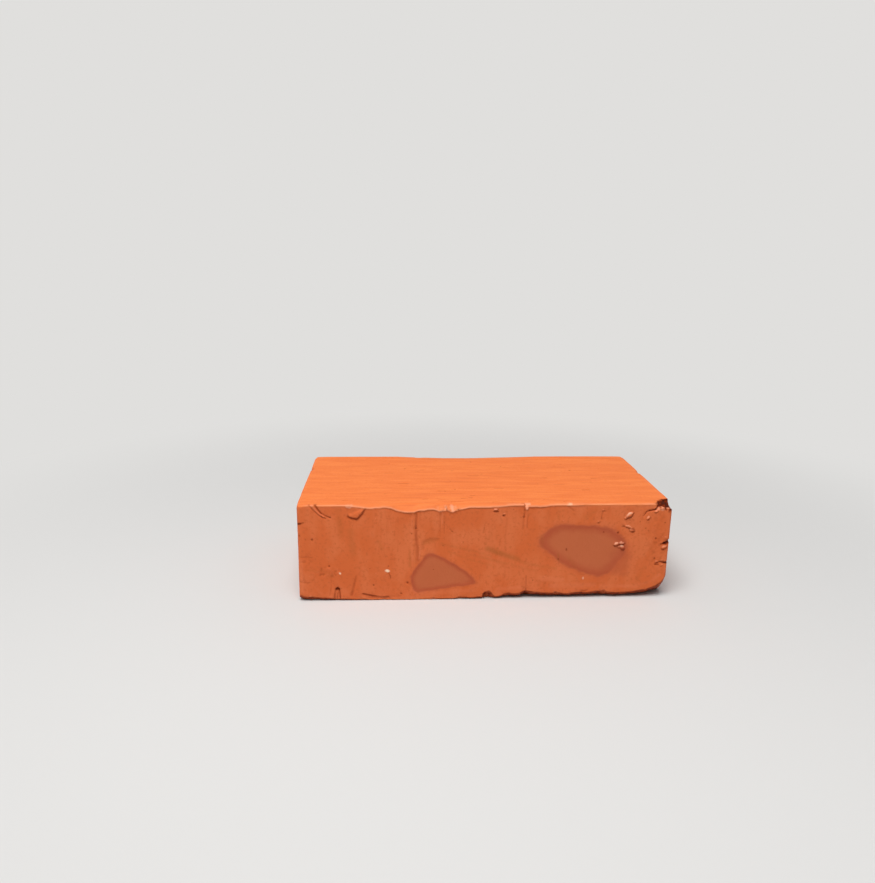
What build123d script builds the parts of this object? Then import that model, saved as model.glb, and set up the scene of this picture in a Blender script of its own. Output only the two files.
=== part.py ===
from build123d import *
import os

# A solid clay brick, pushed through a die as a column, cut across by wires and fired.
# Lengths are in mm. X runs along the length, -Y is the long face towards the viewer, +Z is up,
# and the origin is the middle of the face that the brick lies on.

# Format of the fired brick
length = 220.0
width = 105.0
height = 60.0

# Arrises as the die, the wire and the drying boards leave them
die_corner_radius = 2.0
wire_arris_radius = 0.8
board_arris_radius = 1.2

# How far a worn section bows out towards the arris that it has lost, as a share of the way there
wear_bulge = 0.22
# How far the shape of a missing piece is carried on past the brick, so that it cuts cleanly
overrun = 3.0

# Lower front arris, pressed in while the clay was soft. Each row is a station: its distance from
# the right-hand end, how far the loss rises up the face, and how far it reaches under the brick
pressed_front = (
    (114.0, 0.3, 0.4),
    (103.0, 1.4, 2.1),
    (98.4, 2.7, 3.8),
    (91.7, 3.1, 4.4),
    (89.0, 3.8, 5.2),
    (85.2, 5.4, 6.8),
    (82.2, 4.3, 5.8),
    (74.0, 3.0, 4.6),
    (65.2, 3.4, 4.8),
    (59.8, 2.7, 4.3),
    (51.2, 3.7, 5.0),
    (42.8, 3.6, 5.0),
    (33.0, 2.7, 4.4),
    (22.6, 3.9, 5.6),
    (16.0, 4.9, 6.6),
    (11.0, 5.9, 7.8),
    (7.6, 7.3, 9.2),
    (5.1, 8.9, 10.4),
    (3.4, 10.8, 11.4),
    (1.8, 14.0, 12.2),
    (-1.5, 24.0, 13.0),
)

# Blunted lower left corner of the front face, as the same rows from the left-hand end
blunted_left = (
    (-1.0, 6.2, 5.4),
    (1.8, 4.3, 4.2),
    (3.2, 2.7, 3.2),
    (6.0, 1.9, 2.6),
    (10.0, 2.2, 2.8),
    (16.0, 1.8, 2.4),
    (24.0, 0.3, 0.4),
)

# Upper back arris, sagged where the wire bowed, as the same rows from the right-hand end
sagged_back = (
    (162.0, 0.3, 0.4),
    (148.0, 1.1, 6.0),
    (128.0, 1.7, 9.0),
    (108.0, 1.7, 9.0),
    (84.0, 1.0, 6.0),
    (64.0, 0.3, 0.4),
)

# Lip of clay that the wire rolled over the upper front arris. Each row is the distance from the
# left-hand end, how far the lip hangs down the face, and how far it stands off the face. A lip
# starts and ends sunk in the clay, which is written as standing off by less than nothing
rolled_lip = (
    (6.0, 1.2, -0.7),
    (14.0, 1.7, 0.15),
    (26.0, 1.8, 0.25),
    (52.0, 1.9, 0.40),
    (57.3, 3.0, 0.50),
    (59.2, 4.4, 0.65),
    (61.2, 5.0, 0.70),
    (64.4, 4.9, 0.80),
    (67.6, 4.2, 0.75),
    (73.0, 3.5, 0.60),
    (79.0, 2.7, 0.50),
    (82.7, 4.1, 0.70),
    (85.0, 4.2, 0.80),
    (87.2, 3.1, 0.70),
    (90.2, 4.1, 0.80),
    (92.2, 3.9, 0.75),
    (95.5, 2.3, 0.50),
    (100.2, 1.6, 0.35),
    (108.0, 1.6, 0.25),
    (114.0, 1.4, 0.15),
    (121.0, 1.2, -0.7),
)
burr_lip = (
    (131.4, 1.2, -0.7),
    (134.0, 2.6, 0.60),
    (138.0, 2.0, 0.45),
    (143.5, 1.9, 0.40),
    (148.0, 1.2, -0.7),
)
# How far the lip is rooted behind the face
lip_root = 1.6

# Gouge with a round top that runs up the face from the lower arris
gouge_from_left = 22.7
gouge_width = 3.0
gouge_height = 8.2
gouge_depth = 1.1

# Notch knocked out of the lower arris near the middle: steep on its left, with a high left shoulder,
# and sloping down from its peak to the arris on its right
notch_from_left = 113.0
notch_width = 7.4
notch_shoulder = 3.6
notch_peak = 5.2
notch_peak_offset = -0.1
notch_depth = 2.6
notch_flare_deg = 18.0

# Hollow broken out of the upper right corner of the front face
hollow_along = 10.0
hollow_back = 8.5
hollow_down = 4.6

# Short nicks across the upright front arrises, as depth below the upper bed and run along the
# face
nick_mouth = 1.6
nick_depth = 4.4
nick_flare_deg = 8.0
right_nicks = ((24.6, 3.0), (37.8, 3.4))
left_nicks = ((11.2, 3.2),)

# Crumbs of clay that the die pressed back onto the face. Each row is the distance from the
# right-hand end, the depth below the upper bed, the length, the breadth and the tilt in degrees
crumb_relief = 1.2
crumb_sink = 0.5
crumbs = (
    (25.7, 7.0, 5.2, 3.4, 38.0),
    (26.7, 14.0, 4.6, 2.7, -25.0),
    (23.5, 16.4, 3.7, 3.0, -32.0),
    (32.1, 25.4, 3.0, 2.6, 20.0),
    (29.4, 25.3, 2.6, 2.8, -50.0),
    (29.4, 27.9, 3.4, 2.4, 40.0),
)

left = -length / 2
right = length / 2
front = -width / 2
back = width / 2


def wire_cut_slice():
    """The clean slice of the column, with its arrises blunted."""
    column = extrude(RectangleRounded(length, width, die_corner_radius), height)
    upper_rim = column.faces().sort_by(Axis.Z)[-1].edges()
    column = fillet(upper_rim, wire_arris_radius)
    lower_rim = column.faces().sort_by(Axis.Z)[0].edges()
    return fillet(lower_rim, board_arris_radius)


def worn_section(x, face, bed, rise, reach):
    """Section at x of the clay missing from the arris between a long face and a bed."""
    into_face = 1 if face < 0 else -1
    into_bed = 1 if bed < height / 2 else -1
    arris = Vector(x, face, bed)
    on_face = Vector(x, face, bed + into_bed * rise)
    on_bed = Vector(x, face + into_face * reach, bed)
    middle = (on_face + on_bed) / 2
    outer_y = face - into_face * overrun
    outer_z = bed - into_bed * overrun
    worn = ThreePointArc(on_face, middle + (arris - middle) * wear_bulge, on_bed)
    outside = Polyline(on_bed, (x, on_bed.Y, outer_z), (x, outer_y, outer_z),
                       (x, outer_y, on_face.Z), on_face)
    return make_face([worn, outside])


def worn_arris(end, stations, face, bed):
    """The clay missing from a stretch of one long arris, its stations counted from one end."""
    inward = -1 if end > 0 else 1
    sections = [worn_section(end + inward * distance, face, bed, rise, reach)
                for distance, rise, reach in stations]
    return loft(sections, ruled=True)


def lip_section(x, hang, proud):
    """Section of the rolled lip: level with the upper bed, full in front and thin at its foot."""
    sunk = max(-proud, 0)
    face = front + sunk
    top = height - sunk
    start = Vector(x, face + wire_arris_radius, top)
    foot = Vector(x, face, top - hang)
    # A cubic curve stands off by three quarters of what its two middle points stand off
    belly = face - max(proud, 0) / 0.75
    roll = Bezier(start, (x, belly, top), (x, belly, top - hang / 2), foot)
    root = Polyline(foot, (x, face + lip_root, foot.Z), (x, face + lip_root, top), start)
    return make_face([roll, root])


def lip(stations):
    """Lip of clay along a stretch of the upper front arris."""
    sections = [lip_section(left + distance, hang, proud) for distance, hang, proud in stations]
    return loft(sections, ruled=True)


def on_front(x, z):
    """Plane on the front face, with its normal pointing out of the brick."""
    return Plane(origin=(x, front, z), x_dir=(1, 0, 0), z_dir=(0, -1, 0))


def gouge():
    """Clay missing from the round-topped gouge."""
    straight = gouge_height - gouge_width / 2
    slot = Pos(0, straight / 2) * Rectangle(gouge_width, straight)
    slot += Pos(0, straight) * Circle(gouge_width / 2)
    return extrude(on_front(left + gouge_from_left, 0) * slot, -gouge_depth)


def notch():
    """Clay missing from the notch, which narrows as it goes in."""
    half = notch_width / 2
    outline = Polyline((-half, -overrun), (-half, notch_shoulder), (notch_peak_offset, notch_peak),
                       (half, 0), (half, -overrun), close=True)
    mouth = on_front(left + notch_from_left, 0) * make_face(outline)
    return extrude(mouth, -notch_depth, taper=notch_flare_deg)


def corner_hollow():
    """Clay missing from the broken upper corner."""
    bowl = scale(Sphere(1), by=(hollow_along, hollow_back, hollow_down))
    return Pos(right, front, height) * bowl


def nick(end, down, run):
    """Clay missing from a wedge-shaped nick across an upright arris, which narrows as it goes in."""
    outward = 1 if end > 0 else -1
    outline = Polyline((0, nick_mouth / 2), (-outward * run, 0), (0, -nick_mouth / 2),
                       (outward * overrun, -nick_mouth / 2), (outward * overrun, nick_mouth / 2),
                       close=True)
    mouth = on_front(end, height - down) * make_face(outline)
    return extrude(mouth, -nick_depth, taper=nick_flare_deg)


def crumb(from_right, down, long_way, short_way, tilt):
    """Crumb on the front face, sunk a little way in."""
    thickness = crumb_relief + crumb_sink
    lying = Rot(0, 90, 0) * Sphere(1)
    grain = Pos(0, 0, -crumb_sink) * scale(lying, by=(long_way / 2, short_way / 2, thickness))
    return on_front(right - from_right, height - down) * Rot(0, 0, tilt) * grain


brick = wire_cut_slice()
brick += lip(rolled_lip)
brick += lip(burr_lip)
for row in crumbs:
    brick += crumb(*row)
brick -= worn_arris(right, pressed_front, front, 0)
brick -= worn_arris(left, blunted_left, front, 0)
brick -= worn_arris(right, sagged_back, back, height)
brick -= gouge()
brick -= notch()
brick -= corner_hollow()
for down, run in right_nicks:
    brick -= nick(right, down, run)
for down, run in left_nicks:
    brick -= nick(left, down, run)

os.makedirs("parts", exist_ok=True)
export_step(brick, "parts/brick.step")
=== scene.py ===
import itertools
import math

import bpy
import numpy as np
from mathutils import Matrix, Vector


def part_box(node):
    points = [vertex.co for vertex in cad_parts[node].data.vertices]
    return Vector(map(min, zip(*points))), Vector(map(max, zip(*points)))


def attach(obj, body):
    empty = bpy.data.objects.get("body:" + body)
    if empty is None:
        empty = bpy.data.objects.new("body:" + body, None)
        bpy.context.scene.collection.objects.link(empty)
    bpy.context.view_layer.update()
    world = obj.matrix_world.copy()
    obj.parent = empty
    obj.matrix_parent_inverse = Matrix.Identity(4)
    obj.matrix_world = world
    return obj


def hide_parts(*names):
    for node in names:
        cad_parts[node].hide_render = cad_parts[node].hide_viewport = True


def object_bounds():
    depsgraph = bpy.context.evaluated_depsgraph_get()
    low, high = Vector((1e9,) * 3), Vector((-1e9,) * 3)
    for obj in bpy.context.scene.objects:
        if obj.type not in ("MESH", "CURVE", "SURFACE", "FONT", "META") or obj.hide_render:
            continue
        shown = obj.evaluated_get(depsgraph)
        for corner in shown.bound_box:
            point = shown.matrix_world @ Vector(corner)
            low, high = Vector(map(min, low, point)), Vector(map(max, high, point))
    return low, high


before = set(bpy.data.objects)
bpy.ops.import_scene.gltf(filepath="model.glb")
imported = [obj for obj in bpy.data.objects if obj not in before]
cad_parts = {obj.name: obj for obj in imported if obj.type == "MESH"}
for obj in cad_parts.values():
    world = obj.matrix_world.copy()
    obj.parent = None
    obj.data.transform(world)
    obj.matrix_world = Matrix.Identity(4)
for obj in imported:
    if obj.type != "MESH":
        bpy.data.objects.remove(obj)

cad_box = [list(corner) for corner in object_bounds()]

# The brick's shape is worked out in mm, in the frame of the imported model, and becomes metres when
# the mesh is made. X runs along the length, -Y is the face towards the camera, +Z is up. The lip
# stands off the front face, so the plane of that face is told from the back one.
MM = 0.001
low_corner, high_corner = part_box("brick")
LEFT, RIGHT = low_corner.x / MM, high_corner.x / MM
BACK = high_corner.y / MM
FRONT = -BACK
TOP = high_corner.z / MM
MIDDLE = TOP / 2

# Radii of the arrises: drawn by the die, cut by the wire, and blunted on the drying boards
DIE_ARRIS = 1.8
WIRE_ARRIS = 0.5
BOARD_ARRIS = 1.2

# How far the drawn and dried faces lie under their true planes on average, and how much they wave
FACE_UNDER = 0.15
LONG_WAVE = 0.09
SHORT_WAVE = 0.05

# Clay pressed or worn off an arris. Each row is a place along the length, how far the loss rises
# up the face and how far it reaches in along the bed
PRESSED_FRONT = (
    (-111, 4.9, 4.9), (-108.2, 3.8, 3.9), (-107, 3, 3.3), (-104.8, 2.6, 3), (-101.4, 2.7, 3),
    (-98, 2.2, 2.7), (-94, 1.8, 2.4), (-86, 1.3, 1.8), (-78, 0.9, 1.4), (-70, 0.8, 1.2), (-62, 0.4, 0.7),
    (-52, 0.2, 0.3), (-42, 0.3, 0.5), (-28, 0.6, 1), (-18, 0.9, 1.4), (-12, 1.4, 2.2), (-7, 1.2, 2),
    (-3, 1.7, 2.4), (6.8, 1.6, 2.7), (9.5, 2.1, 3.3), (11.6, 3.3, 4.3), (14.9, 4.1, 4.9), (18.3, 3.3, 4.5),
    (21, 3.6, 4.8), (23, 5, 6.2), (24.8, 5.8, 6.8), (26.5, 5.2, 6.4), (27.8, 4.8, 6), (30.6, 4.3, 5.6),
    (36, 3.8, 4.9), (44.8, 3.7, 4.9), (50.2, 3.2, 4.5), (54.2, 3.7, 4.8), (58.8, 4, 5.2), (62, 3.7, 4.9),
    (67.2, 4.7, 5.7), (71, 4.6, 5.6), (74.7, 3.9, 5), (79.4, 3.3, 4.6), (83.4, 3.6, 5), (87.4, 4, 5.5),
    (91.3, 4.5, 6), (94.6, 5, 6.7), (98, 5.2, 7.1), (100, 6.1, 8), (102, 6.9, 8.8), (104, 7.9, 9.6),
    (106, 9.3, 10.3), (107.4, 10.6, 10.9), (108.6, 12.4, 11.5), (109.5, 15.6, 12), (111.5, 24.2, 12.5),
)
SAGGED_BACK = (
    (-52, 0.3, 0.4), (-38, 1.1, 6), (-18, 1.7, 9), (2, 1.7, 9), (26, 1, 6), (46, 0.3, 0.4),
)

# Small chips off the arrises: the middle of each and its half sizes
CHIPS = (
    ((-14.6, FRONT, 0), (2.3, 1.9, 1.9)), ((-60.6, FRONT, 0), (1.7, 0.9, 0.9)),
    ((-30.5, FRONT, 0), (1.2, 0.8, 1.2)), ((-80.5, FRONT, 0), (1.4, 0.9, 1.2)),
    ((43, FRONT, 3.5), (1.1, 1.6, 0.9)), ((72, FRONT, 3.9), (1.6, 1.8, 1)),
    ((-38, BACK, TOP), (3.4, 2.2, 1.5)), ((66, BACK, 0), (5.2, 2.4, 2.2)), ((-84, BACK, 0), (3, 1.6, 1.5)),
    ((LEFT, 21, TOP), (1.8, 3.6, 1.4)), ((LEFT, -18, 0), (1.6, 4, 1.7)),
    ((LEFT, BACK, 38), (2.2, 2.2, 2.6)), ((RIGHT, 12, TOP), (1.5, 3, 1.3)), ((RIGHT, 36, 0), (2, 4.4, 2)),
    ((RIGHT, BACK, 15), (2, 2, 2.2)),
)

# Nicks in the upright front arrises: where each starts, where it opens, and half its mouth
NICKS = (
    ((104.4, 34.4), (110, 36.4), 1.2),
    ((106.2, 22.9), (110, 22.4), 0.3),
    ((-107.4, 49), (-110, 48.3), 0.25),
)

# Roof of the notch in the lower front arris, and the lump left inside it
NOTCH_ROOF = (
    (-1.8, -1), (-1.1, 3.5), (0.2, 4.6), (1.4, 4.6), (2.5, 5.4), (3.7, 4.6), (5, 2.9), (6.6, 1.4),
    (7.8, -1),
)
NOTCH_LUMP = (3.7, 1.9, 1.9)

# Hollow broken from the upper right corner: its half sizes, and the lumps left on its floor as
# x, distance behind the face, z and size
HOLLOW = (10, 8.8, 4.6)
HOLLOW_LUMPS = (
    (103.8, 0.9, 56.7, 1.9), (107.2, 1.2, 56.4, 1.4), (101.5, 0.7, 56.6, 1.4), (104.6, 6, 57.2, 1.4),
)

# Lip rolled over the upper front arris: place along the length, how far it hangs down the face, and
# how dark the painted shadow along its foot is
LIP_HANG = (
    (-104, 0, 0), (-99, 0.3, 0), (-83, 0.6, 0.05), (-76, 1.6, 0.1), (-70, 2.4, 0.3), (-66, 2.4, 0.15),
    (-61, 2, 0.35), (-58, 2, 0.45), (-55.3, 2.4, 0.6), (-53.7, 3.2, 0.4), (-52, 3.9, 0.2), (-49, 4.5, 0.2),
    (-46.5, 5, 0.35), (-43, 5, 0.2), (-41, 4.3, 0.4), (-39.5, 3.8, 0.5), (-36.5, 3.8, 0.55),
    (-34.5, 3.3, 0.45), (-31, 3.2, 0.5), (-29.4, 3.7, 0.3), (-28, 4.5, 0.15), (-26.5, 4.6, 0.05),
    (-24.5, 3.8, 0.05), (-23, 3.6, 0.1), (-21.5, 4.5, 0.05), (-19, 4.7, 0.1), (-17.2, 4.2, 0.1),
    (-16, 3.5, 0.25), (-13, 2.8, 0.4), (-10, 2.2, 0.45), (-4, 2.2, 0.55), (2, 2.2, 0.45), (8, 1.7, 0.4),
    (11, 1.6, 0.3), (14, 1.2, 0.3), (21.8, 1.1, 0.25), (22.6, 2.2, 0.5), (25, 1.9, 0.7), (33.2, 1.9, 0.8),
    (35, 1.8, 0.5), (38, 1.2, 0.3), (46, 1.1, 0.2), (50, 1.2, 0.35), (56, 1, 0.15), (60, 0.7, 0),
    (100, 0.1, 0),
)

# Crumbs pressed onto the front face: x, z, length, breadth, tilt in degrees and relief
CRUMBS = (
    (84.4, 53.3, 4.8, 3, 44, 1.2), (82.5, 51.4, 2.4, 1.6, 50, 0.6), (84, 45.8, 6.2, 1.6, -22, 0.75),
    (86.5, 43.6, 3.2, 2.1, -18, 0.65), (77.8, 34.9, 3.2, 2.2, 22, 1), (80.7, 35.5, 3.6, 1.7, -8, 1.05),
    (81.2, 32.9, 2.3, 3.4, 28, 1.15), (79.4, 33, 1.5, 1.2, 0, 0.5), (95.7, 51.2, 2.8, 1.9, 62, 0.8),
    (82.3, 39.6, 1.3, 1.4, 0, 0.15), (68.5, 56.2, 1.4, 1.4, 0, 0.45), (66, 48.9, 1.9, 1, 0, 0.3),
    (5.2, 56.9, 2.4, 1.2, 0, 0.8), (10.1, 54.1, 1.6, 1.2, 10, 0.5), (106.6, 32.6, 3.4, 2.3, 20, 0.75),
    (107.4, 38.6, 1.6, 2.4, 10, 0.35), (103.2, 23.6, 2.2, 1.7, 12, 0.5), (105.8, 24, 2, 1.2, 0, 0.3),
    (106.2, 21, 2, 1.2, 10, 0.35), (100.3, 55.2, 2.2, 1.6, 20, 0.65), (103.9, 57, 3.4, 1.5, 6, 0.5),
    (107.8, 56.4, 1.3, 3, -8, 0.4), (-103.4, 2.8, 2.6, 1.6, 10, 0.4), (-91.6, 2.2, 2.4, 1, 0, 0.2),
    (-26.6, 57, 2.2, 1.6, 20, 1.15), (-24.3, 58.6, 1.6, 1.4, 0, 1.1), (-22, 56.9, 1.8, 2.2, -30, 1.15),
    (-19.6, 56.7, 2.4, 1.6, 15, 1.15), (-17.6, 57.6, 1.5, 1.3, 0, 1.05), (-25, 56.4, 1.2, 1, 0, 1.1),
    (-20.6, 58.8, 1.6, 1, 0, 1.1), (-15.9, 58, 1.6, 1, 20, 0.9),
)

# Specks of lime in the front face: x, z, length, breadth, tilt and strength
SPECKS = (
    (-57.9, 19, 3.8, 1.8, -9, 1), (-85.6, 17.7, 1.4, 1.3, 0, 0.9), (58.9, 13.2, 0.9, 2.4, 4, 0.55),
    (48.4, 59.5, 4.2, 1, 6, 0.4),
)

# Pits in the front face: x, z and radius. Each is darkened as painted shade in its hollow, and a few stand
# under crumbs as their painted shadow
PITS = (
    (-101.4, 38.8, 0.8), (-105.3, 39, 0.45), (-108.6, 41.4, 0.5), (-91.9, 22.2, 0.7), (-66, 9.9, 0.6),
    (-46, 11.2, 0.8), (-41.1, 45.3, 0.8), (-43.8, 42.4, 0.45), (-49.8, 4.2, 0.7), (101.3, 38.1, 0.75),
    (101.6, 25.4, 0.75), (47.9, 31.8, 0.6), (48, 31, 0.6), (69.6, 42.4, 0.6), (86.9, 42.4, 0.9),
    (78.3, 41.9, 0.85), (-20, 43.4, 0.5), (9.9, 53, 0.9), (66.2, 48.2, 0.7), (-23.4, 56.7, 0.6),
    (-16.8, 57, 0.6), (91, 48.9, 0.45), (94.6, 44.6, 0.4), (96.4, 43.2, 0.4), (106.2, 48.2, 0.5),
    (43.4, 25.4, 0.6), (-31, 19.7, 0.4), (-57.4, 22, 0.45), (-54.6, 43.6, 0.4), (28.6, 12.1, 0.4),
)

# Creases, cracks and drawn lines in the front face: path, width at its start and at its end, height, which
# is less than nothing where the line is cut in, and how strongly it is darkened or lightened. A few short
# cut-in lines are painted shadows under crumbs and lumps
STROKES = (
    (((-102.9, 60), (-101, 57.8), (-98.8, 55.6), (-96.6, 53.6), (-95, 52.6)), 1.3, 1, -0.4, 0.42),
    (((-95.4, 52.9), (-93.2, 51.8)), 1.4, 1, -0.4, 0.6),
    (((-99.6, 60.4), (-97.6, 57.2), (-95.8, 54.9)), 2.2, 1.4, -0.9, 0.95),
    (((-95.8, 54.9), (-92.8, 53.3), (-90.3, 52.2)), 1.4, 1, -0.6, 0.6),
    (((-101.4, 60), (-99.1, 57.3), (-96.8, 54.8), (-94.2, 52.9)), 1.7, 1.3, 0.5, 0.6),
    (((-89.1, 1.5), (-88.8, 4.5), (-88, 7)), 1.2, 1.5, -0.7, 0.5),
    (((-88, 7.3), (-87.2, 8), (-86.5, 7.3)), 2.4, 2.4, -1, 1.1),
    (((-86.4, 7.4), (-86, 4.6), (-85.7, 1.6)), 1.6, 1.2, -0.9, 0.8),
    (((-87.2, 6.8), (-87.4, 3.8), (-87.5, 1)), 2, 2.6, -0.35, 0.4),
    (((100.9, 58.4), (100.5, 57), (99.6, 56.2)), 2.2, 1.6, -1.2, 0.97),
    (((99.6, 56.2), (97.4, 55.8), (95.8, 55.5)), 1.6, 1.3, -1.1, 0.97),
    (((95.8, 55.5), (94.4, 55), (93.7, 53.6), (92.6, 52.2)), 1.2, 0.9, -0.5, 0.6),
    (((-72.4, 4.2), (-68.4, 3.3), (-64.8, 2.5)), 1.8, 2, -0.5, 0.95),
    (((-64.8, 2.5), (-61.2, 1.9), (-57.4, 2.2)), 2, 1.6, -0.35, 0.75),
    (((-57, 2.6), (-50, 2.6)), 1.2, 1, -0.1, 0.2),
    (((-70.4, 2.6), (-64, 1.4), (-56, 1.2)), 2.4, 1.6, -0.25, 0.4),
    (((-76.2, 15.8), (-77.4, 10.6), (-79.2, 3.6)), 1.6, 2.6, -0.2, 0.4),
    (((-90.9, 15.4), (-91, 9), (-91.8, 3.6)), 1.1, 1.1, -0.12, 0.18),
    (((-40.8, 55.8), (-40.8, 50), (-41.1, 46)), 1.2, 1.3, -0.2, 0.3),
    (((-41, 47), (-40.8, 40), (-40.1, 32), (-39.8, 25)), 1.9, 2.3, -0.26, 0.34),
    (((-40.9, 54), (-41.2, 44), (-40.5, 32), (-40.1, 24)), 2.8, 3.8, -0.1, 0.26),
    (((-43.6, 50), (-43.7, 36), (-43.2, 26)), 2, 2.8, 0.14, 0.2),
    (((-38.4, 33.6), (-38.9, 30), (-39.6, 26)), 1, 1.6, 0.18, 0.4),
    (((-27.2, 55.4), (-27.2, 47), (-26.9, 40)), 1.3, 0.9, -0.15, 0.24),
    (((-24.9, 55.4), (-24.7, 47), (-24.5, 42)), 1.2, 0.8, -0.14, 0.22),
    (((-26, 55), (-25.9, 48)), 1.2, 0.8, 0.12, 0.3),
    (((-21.6, 44.9), (-20, 43.2), (-18.8, 42.2)), 1.2, 1.2, -0.2, 0.3),
    (((-1.2, 46), (-1.9, 42.4)), 1.2, 1, -0.12, 0.3), (((-23.8, 58.2), (-23, 56.6)), 1.4, 1.1, -0.4, 0.6),
    (((21.9, 60), (22, 56), (21.8, 51.6)), 1.7, 1.5, -0.5, 0.6),
    (((21.8, 52), (21.6, 48), (21.5, 44.6)), 1.4, 1.6, -0.15, 0.25),
    (((24.6, 56), (24.2, 51), (24, 45.6)), 1.3, 0.9, -0.12, 0.2),
    (((23.2, 56), (23, 46)), 1.2, 0.9, 0.1, 0.2),
    (((47.4, 58.9), (49.2, 57.4), (51, 56)), 1.6, 1.2, -0.2, 0.4),
    (((4.2, 55.6), (6.7, 55.5)), 1.5, 1.3, -0.3, 0.95),
    (((24.6, 15), (24.9, 9), (24.8, 5.4)), 1, 1.8, -0.25, 0.35),
    (((68.2, 55.4), (67.8, 50.6)), 1.2, 0.9, -0.3, 0.4),
    (((-37.8, 33), (-36.4, 37), (-32.6, 38.8), (-28.4, 38.4)), 3, 3.6, -0.1, 0.16),
    (((-108.8, 28.2), (-101.6, 27.8)), 1.1, 0.9, -0.14, 0.22),
    (((-109, 24.8), (-105.6, 25)), 1, 0.8, -0.16, 0.28),
    (((-109.4, 12.4), (-105.4, 11.8), (-102.4, 12.2)), 1.2, 0.8, -0.2, 0.32),
    (((-107.6, 23.6), (-107.2, 16)), 1.4, 1.2, 0.12, 0.35),
    (((-57.2, 17.4), (-56.4, 16), (-56, 14.4)), 1.1, 1.3, -0.4, 0.85),
    (((58.8, 5), (60.4, 4.4), (62, 5.2)), 1.4, 1.4, -0.3, 0.4),
    (((102.2, 21.6), (104.2, 21.3)), 1.6, 1.3, -0.3, 0.85),
    (((105, 34.7), (106.4, 35), (107.8, 35.6)), 1.3, 2.1, -0.6, 1.4),
    (((104.9, 23.2), (106.9, 22.9)), 1.7, 1.3, -0.4, 0.9),
)

# Faint stains and rubbed streaks on the front face: path, width and strength
STAINS = (
    (((1, 32.4), (9, 29.4), (19, 26)), 5.5, 1), (((17, 26.6), (24, 22.9), (42, 19.4)), 2.8, 0.5),
    (((-12, 29.6), (10, 23.6), (30, 18)), 2.8, 0.3), (((-26, 36), (-10, 31.6), (2, 28.6)), 2.8, 0.4),
    (((-22, 31), (-8, 25.4), (6, 21)), 2.2, 0.3), (((36, 55.8), (36.4, 48.6)), 1.8, 0.35),
    (((42, 55.6), (42.2, 50.2)), 2.2, 0.3), (((-44.6, 31), (-44.8, 22)), 2.8, 0.5),
    (((33.6, 39), (33.4, 34.6)), 3, 0.5), (((43.2, 28.4), (43.6, 24.6)), 1.8, 0.9),
    (((-36, 36.6), (-30, 38.6)), 5, 0.5), (((-96, 19.6), (-91, 16.4)), 4.2, 0.35),
    (((-103.6, 20), (-98, 18.6)), 2.6, 0.4), (((32.6, 40), (33.6, 34.6)), 3.6, 0.6),
    (((-86, 58), (-84.6, 42)), 6, 0.35), (((-79, 44), (-77.6, 28)), 6.5, 0.4),
    (((-63, 37.6), (-61, 33)), 4, 0.4), (((66, 57.6), (58, 51)), 5, 0.3), (((96, 20), (92, 11)), 4, 0.3),
    (((2, 40.6), (0, 36)), 3.2, 0.3), (((50, 26), (54, 20)), 4, 0.4),
)

# Where the front face is paler and pinker, as the same rows
PALE_PATCHES = (
    (((-108.4, 26), (-108, 6)), 3.6, 0.5), (((-73, 52), (-68, 42)), 9, 0.15),
    (((-100, 9), (-97, 5)), 3, 0.25), (((-82.6, 6.6), (-80.4, 2)), 4, 0.25), (((2, 52), (14, 50)), 9, 0.15),
    (((28, 53), (34, 47)), 6, 0.15), (((-44, 8), (-40, 2.4)), 4, 0.25), (((6.8, 4.8), (9.6, 3.8)), 3, 0.4),
    (((40, 8.2), (66, 8.4)), 5, 0.45), (((-38, 4.6), (-8, 5.6)), 4, 0.35),
    (((70, 7.8), (90, 7.4), (100, 10.4), (105.4, 14.6)), 3.4, 0.45), (((8, 6.4), (21, 7.4)), 4, 0.35),
    (((34, 13.4), (46, 12)), 6, 0.35),
)

# Broken clay that stands on the upper front arris: path, width and how proud it stands
BURRS = (
    (((23.3, 57.4), (23.3, 58.6), (23.6, 60.2)), 2.4, 0.8), (((22.8, 59.9), (25.2, 59.7)), 1.6, 0.6),
    (((-81, 59.2), (-79.4, 58.5), (-78.2, 59.4)), 2, 0.35), (((-20.6, 58.4), (-19.8, 56.3)), 3.2, 1.1),
)

# Patches of the front face that are left rough: middle, half sizes and strength
ROUGH_PATCHES = (
    (-92.4, 18.4, 9, 4.6, 1.3), (102, 34, 8, 26, 0.5), (30, 9, 14, 4.4, 0.5), (66, 7.8, 9, 3, 0.5),
    (-104, 18, 5, 18, 0.4), (-21, 53.8, 3.2, 2.6, 1.3), (-43.6, 52.4, 2.6, 2.8, 1.3),
)

# Flake that lies on the front face below the upper arris: its middle, the rounding of its corners,
# its thickness, and its sides, given as for the kiln marks below
FLAKE = ((-76.5, 56.5), 1.4, 0.7, ((-102, 4.6), (-43, 4.3), (-14, 5.3), (178, 3.8)))

# Marks left where bricks touched in the kiln, each bounded by straight sides with rounded corners.
# A row is the mark's middle, the rounding and the softness of its edge, then its sides: the
# direction that each faces, in degrees, and its distance from the middle. The haze is only a tint
KISS_MARKS = (
    ((-28, 16), 6.1, 0.8,
     ((-162, 17), (-81, 9.5), (27, 20.1), (53, 11.8), (71, 12.6), (145, 13.7))),
    ((60, 32), 9.9, 1.5,
     ((-129, 16.6), (-102, 16.4), (-34, 21.6), (41, 21.1), (87, 15), (137, 26.2))),
)
KILN_HAZE = ((83, 23), 7, 3.5, ((0, 5), (90, 9), (180, 9), (-90, 9)))
BACK_KISS_MARKS = (
    ((-62, 31), 16, 2.2, ((90, 16), (40, 21), (0, 26), (-50, 20), (-120, 19), (160, 24))),
    ((48, 27), 14, 1.8, ((100, 15), (40, 18), (-15, 21), (-80, 13.5), (-160, 22))),
)

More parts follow.
